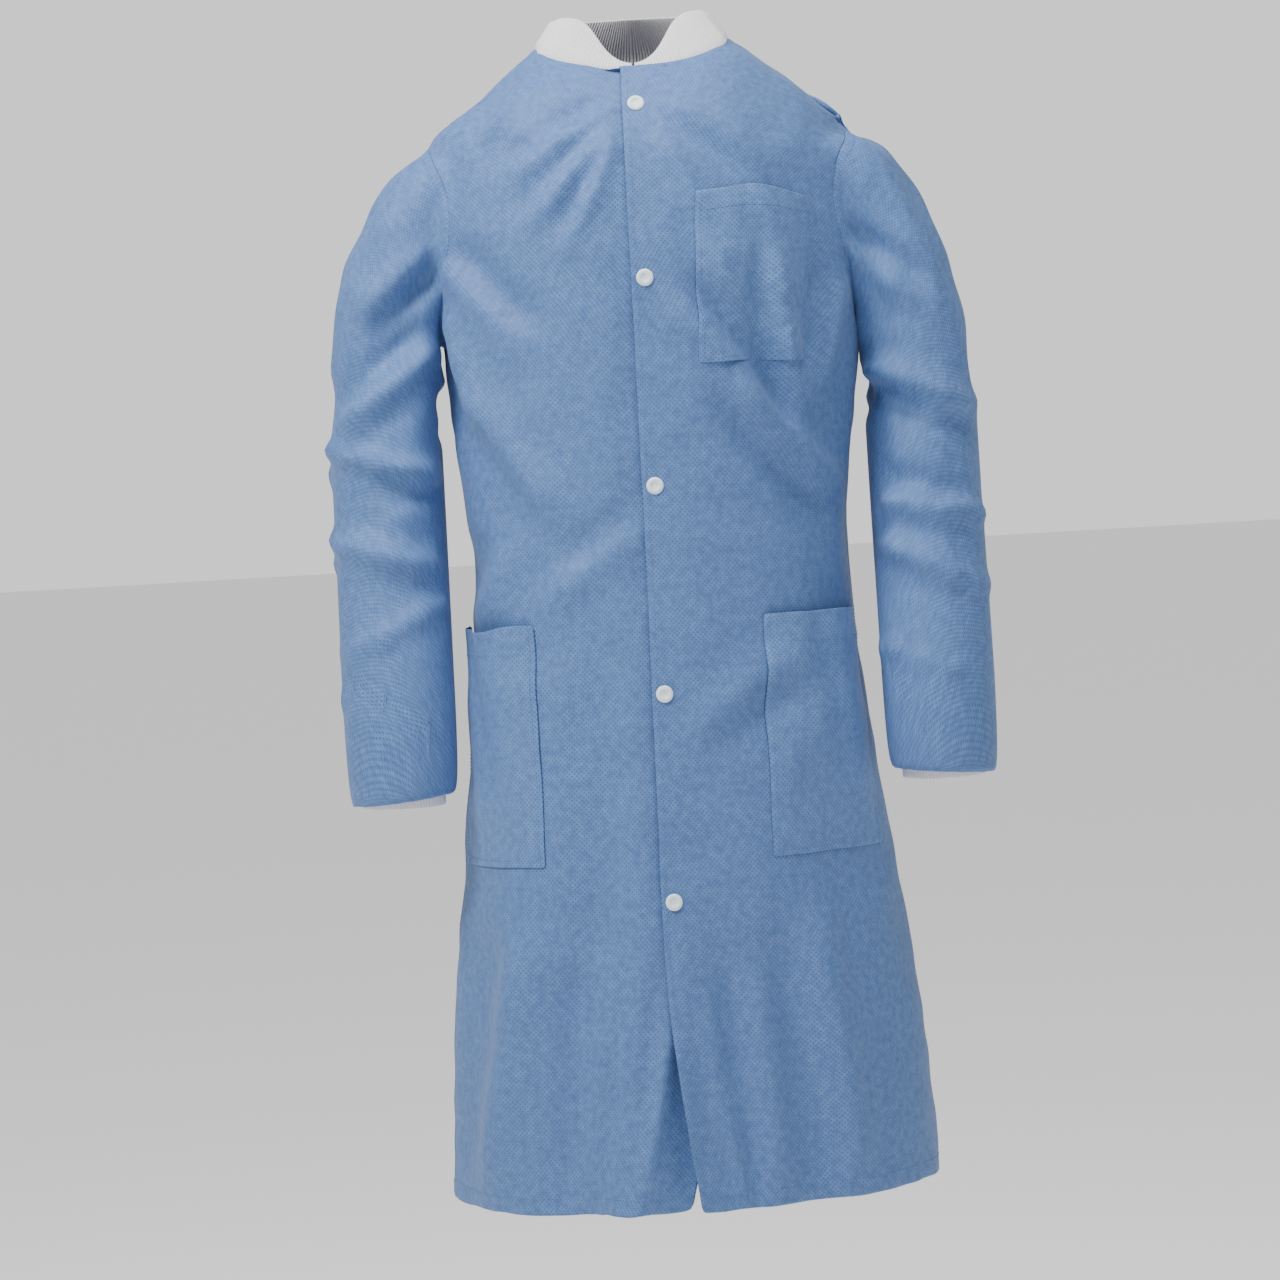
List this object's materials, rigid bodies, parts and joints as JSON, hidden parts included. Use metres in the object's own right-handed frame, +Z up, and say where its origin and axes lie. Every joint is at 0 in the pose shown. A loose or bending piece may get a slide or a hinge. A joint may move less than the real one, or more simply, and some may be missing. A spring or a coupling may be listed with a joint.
{
  "type": "laboratory coat",
  "caption": "Knee-length coat of thin non-woven cloth with snap front, knit collar and cuffs, chest pocket and lower patch pockets.",
  "frame": {"origin": "middle of the neck opening, at the height of the two neck points of the shoulder seams", "axes": "+X to the wearer's left, -Y to the wearer's front, +Z up"},
  "size_m": [0.5782, 0.3197, 1.06],
  "materials": {
    "coat_cloth": "point-bonded polypropylene non-woven, matt with a faint sheen",
    "facing_cloth": "the same non-woven, a second layer behind the front edge",
    "pocket_cloth": "the same non-woven, a patch over the front",
    "rib_knit": "white polyester rib knit, matt",
    "snap_plastic": "white moulded acetal, soft gloss"
  },
  "bodies": {
    "body": {"back_panel": "coat_cloth", "left_shoulder_panel": "coat_cloth", "right_shoulder_panel": "coat_cloth", "collar_back": "rib_knit"},
    "left_front": {"left_front": "coat_cloth", "left_front_facing": "facing_cloth", "left_collar_front": "rib_knit", "chest_pocket": "pocket_cloth", "left_lower_pocket": "pocket_cloth", "snap_1_cap": "snap_plastic", "snap_1_socket": "snap_plastic", "snap_2_cap": "snap_plastic", "snap_2_socket": "snap_plastic", "snap_3_cap": "snap_plastic", "snap_3_socket": "snap_plastic", "snap_4_cap": "snap_plastic", "snap_4_socket": "snap_plastic", "snap_5_cap": "snap_plastic", "snap_5_socket": "snap_plastic"},
    "right_front": {"right_front": "coat_cloth", "right_front_facing": "facing_cloth", "right_collar_front": "rib_knit", "right_lower_pocket": "pocket_cloth", "snap_1_stud": "snap_plastic", "snap_1_back": "snap_plastic", "snap_2_stud": "snap_plastic", "snap_2_back": "snap_plastic", "snap_3_stud": "snap_plastic", "snap_3_back": "snap_plastic", "snap_4_stud": "snap_plastic", "snap_4_back": "snap_plastic", "snap_5_stud": "snap_plastic", "snap_5_back": "snap_plastic"},
    "left_sleeve": {"left_sleeve": "coat_cloth", "left_cuff": "rib_knit"},
    "right_sleeve": {"right_sleeve": "coat_cloth", "right_cuff": "rib_knit"}
  },
  "joints": [
    {"name": "left_front_open", "type": "hinge", "parent": "body", "child": "left_front", "pos_m": [0.1175, -0.1005, -0.52], "axis": [-0.1287, 0.0219, 0.9914], "range_deg": [0, 60]},
    {"name": "right_front_open", "type": "hinge", "parent": "body", "child": "right_front", "pos_m": [-0.1175, -0.1005, -0.52], "axis": [-0.1287, -0.0219, -0.9914], "range_deg": [0, 30]},
    {"name": "left_sleeve_raise", "type": "hinge", "parent": "body", "child": "left_sleeve", "pos_m": [0.186, 0, -0.079], "axis": [0, -1, 0], "range_deg": [0, 45]},
    {"name": "right_sleeve_raise", "type": "hinge", "parent": "body", "child": "right_sleeve", "pos_m": [-0.186, 0, -0.079], "axis": [0, 1, 0], "range_deg": [0, 45]}
  ],
  "couplings": [
    {"joint": "right_front_open", "follows": "left_front_open", "ratio": 0.5}
  ]
}
